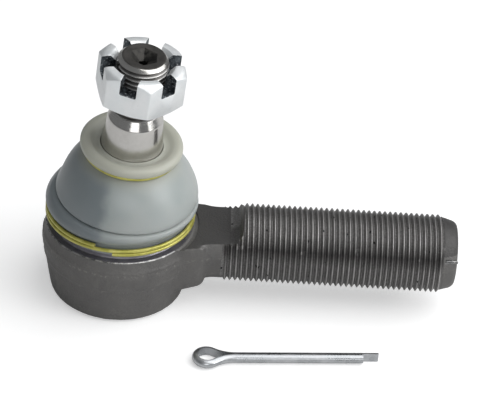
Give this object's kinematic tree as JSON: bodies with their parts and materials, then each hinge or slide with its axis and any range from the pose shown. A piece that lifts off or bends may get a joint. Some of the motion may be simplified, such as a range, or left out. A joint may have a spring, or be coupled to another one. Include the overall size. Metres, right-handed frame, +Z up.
{
  "type": "tie rod end",
  "caption": "Steering ball joint: forged pot with a threaded shank, leaning tapered ball stud in a plastic bearing, dust boot with wire rings, slotted nut and loose split pin.",
  "frame": {"origin": "centre of the pot's flat base, on the pot's axis", "axes": "+Z up the pot's axis, +X along the threaded shank, +Y across"},
  "size_m": [0.1164, 0.0594, 0.0796],
  "materials": {
    "forging": "phosphated forging, machined shoulder, rolled thread",
    "plated_steel": "bright zinc plating with a faint blue cast",
    "spring_steel": "oil tempered",
    "bearing_plastic": "moulded natural acetal",
    "boot_plastic": "milky grey polyurethane, slightly translucent",
    "ring_wire": "yellow lacquered spring wire",
    "ground_steel": "ground and polished taper"
  },
  "bodies": {
    "housing": {"housing": "forging", "cover_plate": "plated_steel", "pressure_spring": "spring_steel", "lower_bearing": "bearing_plastic", "upper_bearing": "bearing_plastic", "boot_lower_ring": "ring_wire"},
    "boot_middle": {"boot": "boot_plastic"},
    "boot_top": {"boot_upper_ring": "ring_wire"},
    "stud": {"ball_stud": "ground_steel"},
    "nut": {"castle_nut": "plated_steel"},
    "pin": {"split_pin": "plated_steel"}
  },
  "joints": [
    {"name": "tilt_along_shank", "type": "hinge", "parent": "housing", "child": "boot_middle", "pos_m": [0, 0, 0.01858], "axis": [0, 1, 0], "range_deg": [-23.9, 16.1], "deforming": ["boot"]},
    {"name": "tilt_across_shank", "type": "hinge", "parent": "boot_middle", "child": "boot_top", "pos_m": [0, 0, 0.01858], "axis": [1, 0, 0], "range_deg": [-24.3, 15.7]},
    {"name": "stud_spin", "type": "hinge", "parent": "boot_top", "child": "stud", "pos_m": [0, 0, 0.01858], "axis": [0.0678, -0.075, 0.9949], "continuous": true},
    {"name": "nut_turn", "type": "hinge", "parent": "stud", "child": "nut", "pos_m": [0, 0, 0.01858], "axis": [0.0678, -0.075, 0.9949], "continuous": true},
    {"name": "pin_lift", "type": "slide", "parent": "housing", "child": "pin", "axis": [0, 0, 1], "range_m": [0, 0.06]}
  ]
}
